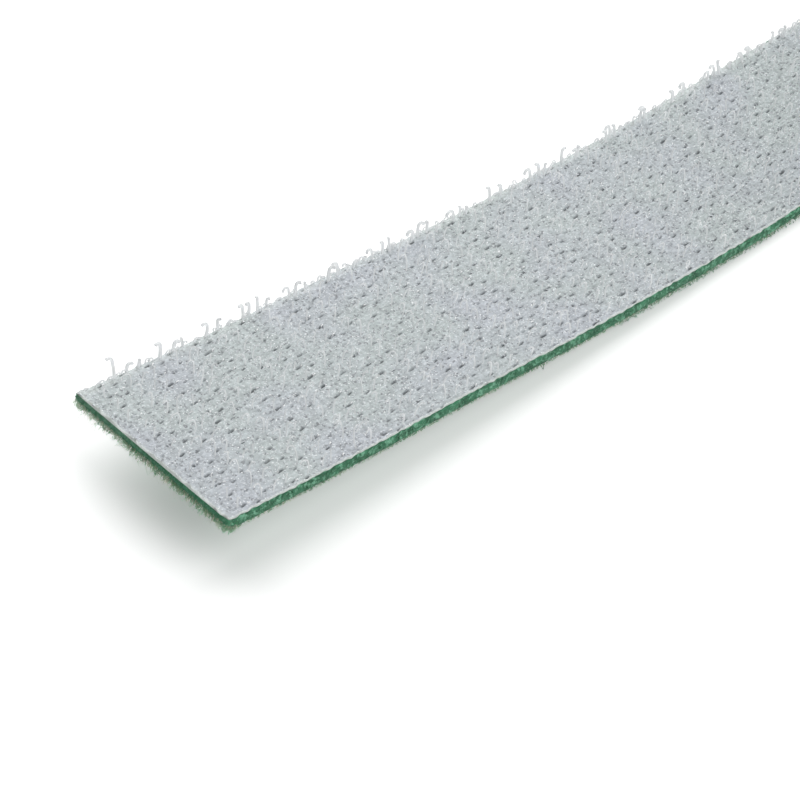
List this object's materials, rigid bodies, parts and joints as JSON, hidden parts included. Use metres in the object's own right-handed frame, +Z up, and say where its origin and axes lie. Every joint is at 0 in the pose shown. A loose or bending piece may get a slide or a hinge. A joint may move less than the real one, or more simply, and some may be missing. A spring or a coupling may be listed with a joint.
{
  "type": "hook and loop tape roll",
  "caption": "Roll of back-to-back hook and loop tape on a cardboard core, its free end drawn out flat, hooks up, and curling up at the cut edge.",
  "frame": {"origin": "under the middle of the object's box, on the surface that it stands on", "axes": "+X from the cut edge of the free end towards the roll, +Y across the tape, +Z up"},
  "size_m": [0.195, 0.02, 0.09],
  "materials": {
    "kraft_board": "matt wound kraft board",
    "loop_yarn": "brushed green nylon loops, no shine",
    "bonding_film": "thin hazy film",
    "hook_tape_yarn": "pale grey woven nylon with small bright glints",
    "hook_strand": "translucent nylon monofilament"
  },
  "bodies": {
    "root": {"core_tube": "kraft_board", "loop_tape_winding": "loop_yarn", "bonding_film_winding": "bonding_film", "hook_tape_winding": "hook_tape_yarn", "loop_tape_free_end": "loop_yarn", "bonding_film_free_end": "bonding_film", "hook_tape_free_end": "hook_tape_yarn", "hook_rows_1": "hook_strand", "hook_rows_2": "hook_strand", "hook_rows_3": "hook_strand"}
  },
  "joints": []
}
